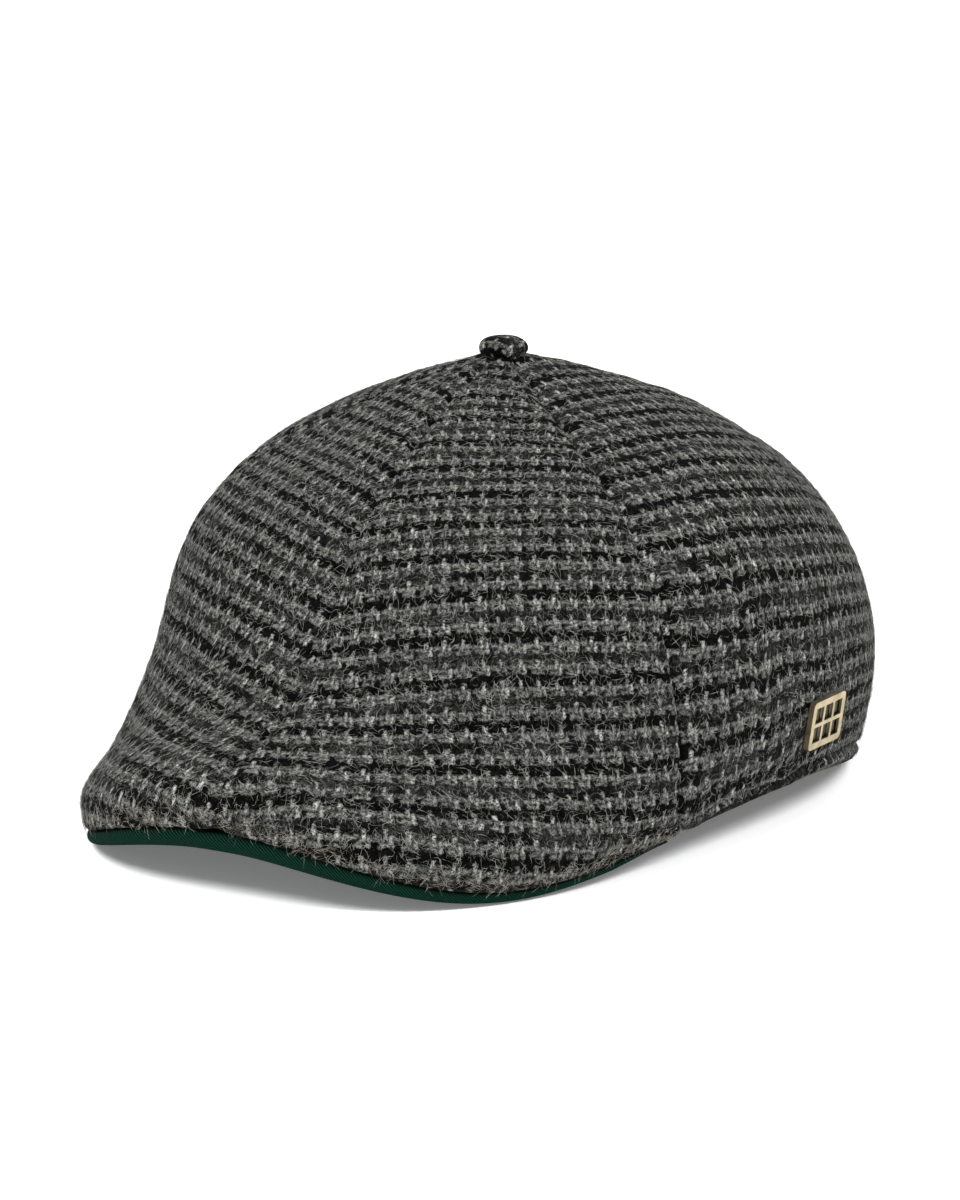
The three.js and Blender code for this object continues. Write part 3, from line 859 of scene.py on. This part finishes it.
def threads(rng, path, n):
    """The corners of three-sided threads along the paths, thinner at both ends."""
    along = np.linspace(0, 1, HAIR["steps"])
    way = unit(np.gradient(path, axis=1))
    side = unit(np.cross(way, n[:, None]))
    top = np.cross(side, way)
    radius = HAIR["thick"] / 2 * rng.uniform(0.7, 1.15, len(path))[:, None, None]
    radius = radius * (1 - 0.55 * np.abs(2 * along - 1) ** 3)[None, :, None]
    rings = [path + radius * (math.cos(t) * side + math.sin(t) * top) for t in HAIR_CORNERS]
    return np.stack(rings, 2).reshape(-1, 3)


def thread_faces(count):
    """The faces of closed threads, and a map for baking with one small square for each thread."""
    steps = HAIR["steps"]
    squares = math.ceil(math.sqrt(count))
    faces, bake_uv = [], []
    for h in range(count):
        base = 3 * steps * h
        u, v = (h % squares) / squares, (h // squares) / squares
        for k in range(steps - 1):
            for c in range(3):
                d = (c + 1) % 3
                low, high = base + 3 * k, base + 3 * k + 3
                faces.append((low + c, low + d, high + d, high + c))
                for p, q in ((k, c), (k, c + 1), (k + 1, c + 1), (k + 1, c)):
                    bake_uv.append((u + (0.15 + 0.17 * p) / squares, v + (0.15 + 0.22 * q) / squares))
        for k, ring in ((0, (2, 1, 0)), (steps - 1, (0, 1, 2))):
            faces.append(tuple(base + 3 * k + c for c in ring))
            bake_uv += [(u + 0.5 / squares, v + (0.2 + 0.2 * c) / squares) for c in ring]
    return faces, bake_uv


def fuzz(name, outer, normal, to_edge, count, seed, front):
    """Fine curly fibres lying on a panel, each a closed three-sided thread. front marks a front panel."""
    rng = np.random.default_rng(seed)
    cell, start, one = fibre_roots(rng, outer, to_edge, count, front)
    n = unit(normal[cell])
    path = fibre_paths(rng, start, n, one, front & (to_edge[cell] < FRONT_EDGE["level"]))
    vertices = threads(rng, path, n)
    faces, bake_uv = thread_faces(count)
    warm = front & (to_edge[cell] < FRONT_EDGE["warm"]) & (rng.random(count) < FRONT_EDGE["warm_share"])
    kinds = np.repeat(warm.astype(int), len(faces) // count)
    piece = add_mesh(name, vertices, faces, kinds, [hair, warm_hair], {"OFBake": bake_uv})
    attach(piece, "root")


for number, (node, (outer, normal, to_edge)) in enumerate(sheets.items()):
    fuzz("fuzz_" + node, outer, normal, to_edge, HAIR_COUNTS[node], 300 + number, node.startswith("front"))


# ---- the visor ----

VISOR_COLUMNS = 181
VISOR_ROWS = 16
NOSE_ROWS = 13
VISOR_TAPER = 9  # degrees over which the board thins out at each end
SMOOTHING = {"reach": 18, "width": 7.0}  # in columns
# The rounded front edge: its depth as a share of the board's thickness, and how full its curve is.
NOSE = {"depth": 0.42, "square": 0.8}


def smoothed(values, reach, width):
    """A row of values evened out among its neighbours, its ends carried on by mirroring."""
    soft = hump(np.arange(-reach, reach + 1), width)
    before = 2 * values[0] - values[reach:0:-1]
    after = 2 * values[-1] - values[-2:-reach - 2:-1]
    return np.convolve(np.concatenate([before, values, after]), soft / soft.sum(), "valid")


def level_inward(edge, directions, middle):
    """The level way inward from the front panels' lower edge."""
    above = crown_row(0.996, directions)
    along = crown_row(1.0, directions + 0.5) - crown_row(1.0, directions - 0.5)
    inward = np.cross(along, edge - above)
    inward[:, 2] = 0
    inward = unit(inward)
    return inward * np.sign(((np.array([0, middle, 0]) - edge) * inward).sum(-1))[:, None]


def visor():
    """A board in green twill, its edge rounded, under the front panels' lower edge."""
    directions = np.linspace(VISOR_END, -VISOR_END, VISOR_COLUMNS)
    edge = crown_row(1.0, directions)
    edge[:, 2] = smoothed(edge[:, 2], **SMOOTHING)
    middle = float(ring_curves["middle"](1.0))
    inward = level_inward(edge, directions, middle)
    angle = np.radians(directions)
    frontness = np.cos(angle * 90 / VISOR_END) ** 2
    thick = VISOR_THICK["end"] + (VISOR_THICK["front"] - VISOR_THICK["end"]) * frontness
    thick *= np.clip((VISOR_END - np.abs(directions)) / VISOR_TAPER, 0.3, 1)
    ledge = edge + inward * VISOR_LEDGE
    back_x = OPENING["side"] * np.sin(angle)
    back_y = middle - OPENING["front"] * np.cos(angle)
    back = np.stack([back_x, back_y, edge[:, 2]], -1)
    top, bottom = [], []
    for beyond in np.linspace(1, 0, VISOR_ROWS):
        point = ledge + (back - ledge) * beyond
        point[:, 2] = edge[:, 2] - PIECE_GAP + VISOR_RISE * frontness * beyond
        under = point.copy()
        under[:, 2] -= thick
        top.append(point)
        bottom.append(under)
    nose = []
    reach = thick * NOSE["depth"]
    centre = edge + inward * (VISOR_INSET + reach)[:, None]
    centre[:, 2] = edge[:, 2] - PIECE_GAP - thick / 2
    for t in np.linspace(math.pi / 2, -math.pi / 2, NOSE_ROWS):
        point = centre - inward * (reach * math.cos(t) ** NOSE["square"])[:, None]
        point[:, 2] += thick / 2 * math.sin(t)
        nose.append(point)
    loops = np.array(top + nose + bottom[::-1])
    loops[..., 2] = np.maximum(loops[..., 2], FLOOR_GAP)
    u = np.repeat(path_length(edge[None], 1), len(loops) + 1, 0)
    v = path_length(np.concatenate([loops, loops[:1]]), 0)
    middle_column = v[:, VISOR_COLUMNS // 2]
    wide = BAKE["left"] + BAKE["width"] * u[0] / u[0, -1]
    bake_u, bake_v = np.meshgrid(wide, 0.01 + 0.98 * (middle_column / middle_column[-1]))
    piece = loop_sheet("green_visor", loops, np.stack([u, v], -1), np.stack([bake_u, bake_v], -1),
                       [0] * len(loops), [twill])
    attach(piece, "root")
    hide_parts("visor")


visor()


# ---- the button ----

BUTTON_COLUMNS = 72
# The underside from the shank outward: radius, and depth under the button's top.
BUTTON_UNDERSIDE = [(2.4, 5.9), (3.6, 5.7), (5.0, 5.65), (5.7, 5.5)]
BUTTON_RIM = 3.4  # the rim's depth under the top
BUTTON_BELOW = 2.8  # how far the cloth reaches under the rim
# The cloth's edge is gathered in small waves, full from this radius outward.
GATHER = {"waves": 4, "depth": 0.05, "full_at": 6}
GATHER_SEED = 3


def button_profile():
    """The button's outline as (radius, height) from the shank's foot to the top."""
    low, high = button_low[2] / MM, button_high[2] / MM
    radius = (button_high[0] - button_low[0]) / 2 / MM
    profile = [(0.0, low), (BUTTON_UNDERSIDE[0][0], low)]
    profile += [(r, high - depth) for r, depth in BUTTON_UNDERSIDE]
    for t in np.linspace(-0.62, 0.5 * math.pi, 22):
        power, depth = (0.62, BUTTON_RIM) if t > 0 else (0.9, BUTTON_BELOW)
        profile.append((radius * math.cos(t) ** power, high - BUTTON_RIM + depth * math.sin(t)))
    profile[-1] = (0.0, high)
    return profile


def button():
    """The covered button: tweed drawn over a shallow dome."""
    profile = button_profile()
    turns = np.linspace(0, 2 * math.pi, BUTTON_COLUMNS, endpoint=False)
    rng = np.random.default_rng(GATHER_SEED)
    waves = [(rng.integers(5, 13), rng.uniform(0, 6.28)) for _ in range(GATHER["waves"])]
    vertices, faces, grain_uv, bake_uv = [], [], [], []
    for r, z in profile:
        for t in turns:
            gather = sum(math.sin(w * t + p) for w, p in waves) * GATHER["depth"]
            out = r + gather * min(1, r / GATHER["full_at"])
            vertices.append((out * math.cos(t), out * math.sin(t), z))
    steps = [math.hypot(b[0] - a[0], b[1] - a[1]) for a, b in zip(profile, profile[1:])]
    reach = np.concatenate([[0.0], np.cumsum(steps)])

    def spot(n, k):
        """A point's place on the round of cloth, from its middle."""
        out = reach[-1] - reach[n]
        return out * math.cos(turns[k]), out * math.sin(turns[k])

    for n in range(len(profile) - 1):
        for k in range(BUTTON_COLUMNS):
            after = (k + 1) % BUTTON_COLUMNS
            corners = [(n, k), (n, after), (n + 1, after), (n + 1, k)]
            faces.append([row * BUTTON_COLUMNS + column for row, column in corners])
            spots = [spot(*corner) for corner in corners]
            grain_uv += spots
            bake_uv += [(0.5 + 0.48 * x / reach[-1], 0.5 + 0.48 * y / reach[-1]) for x, y in spots]
    piece = add_mesh("tweed_button", np.array(vertices), faces, [0] * len(faces), [tweed],
                     {"Grain": grain_uv, "OFBake": bake_uv})
    merge = piece.modifiers.new("weld", "WELD")
    merge.merge_threshold = 1e-6
    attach(piece, "root")
    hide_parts("top_button")


button()


# ---- the badge keeps its CAD shape ----

for node, material in (("badge_plate", brass), ("badge_enamel", enamel)):
    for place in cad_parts[node].material_slots:
        place.material = material
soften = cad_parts["badge_plate"].modifiers.new("edges", "BEVEL")
soften.width = 0.2 * MM
soften.segments = 2
soften.limit_method = "ANGLE"


# ---- floor, light and camera ----

AZIMUTH = math.radians(33.2)
ELEVATION = math.radians(13.3)
DISTANCE = 2.5
LOOK_AT = Vector((0, AXIS_Y - 0.015, 0.062))
# The camera stands a little to its right and a little lower, and still looks the same way.
ASIDE = 0.0018
LOWER = 0.0045
toward = Vector((math.sin(AZIMUTH) * math.cos(ELEVATION), -math.cos(AZIMUTH) * math.cos(ELEVATION),
                 math.sin(ELEVATION)))
right = Vector((math.cos(AZIMUTH), math.sin(AZIMUTH), 0))
up = toward.cross(right)
camera_data = bpy.data.cameras.new("camera")
camera_data.sensor_width = 36
camera_data.lens = 270.75
camera_data.clip_start = 0.1
camera_data.clip_end = 60
camera = bpy.data.objects.new("camera", camera_data)
camera.location = LOOK_AT + toward * DISTANCE + right * ASIDE - up * LOWER
camera.rotation_mode = "QUATERNION"
camera.rotation_quaternion = toward.to_track_quat("Z", "Y")
bpy.context.scene.collection.objects.link(camera)
bpy.context.scene.camera = camera

FLOOR_GLOW = 0.155
floor_graph = Graph("pale_floor")
floor_tone = floor_graph.blend_colour(
    floor_graph.noise(floor_graph.here(), 3.0), (0.95, 0.95, 0.95, 1), (0.96, 0.96, 0.96, 1))
floor_graph.finish(Base_Color=floor_tone, Roughness=0.9, Specular_IOR_Level=0.1,
                   Emission_Color=(1, 1, 1, 1), Emission_Strength=FLOOR_GLOW)
floor_mesh = bpy.data.meshes.new("floor")
floor_mesh.from_pydata([(-15, -15, 0), (15, -15, 0), (15, 15, 0), (-15, 15, 0)], [], [(0, 1, 2, 3)])
floor_mesh.materials.append(floor_graph.material)
floor = bpy.data.objects.new("floor", floor_mesh)
bpy.context.scene.collection.objects.link(floor)

WORLD_LIGHT = 0.52
world = bpy.data.worlds.new("studio")
world.use_nodes = True
background = world.node_tree.nodes["Background"]
background.inputs["Color"].default_value = (1, 1, 1, 1)
background.inputs["Strength"].default_value = WORLD_LIGHT
bpy.context.scene.world = world


LIT_POINT = Vector((0, 0, 0.06))


def softbox(name, place, size, power):
    """A round soft light, turned to the cap."""
    light = bpy.data.lights.new(name, "AREA")
    light.shape = "DISK"
    light.size = size
    light.energy = power
    lamp = bpy.data.objects.new(name, light)
    lamp.location = place
    lamp.rotation_mode = "QUATERNION"
    lamp.rotation_quaternion = (Vector(place) - LIT_POINT).to_track_quat("Z", "Y")
    bpy.context.scene.collection.objects.link(lamp)


softbox("left_light", (-0.6, -1.35, 1.6), 1.0, 46)
softbox("right_light", (1.5, 0.0, 1.6), 1.0, 42)
softbox("back_light", (-0.5, 1.7, 1.5), 1.4, 22)

bpy.context.scene.view_settings.view_transform = "Standard"
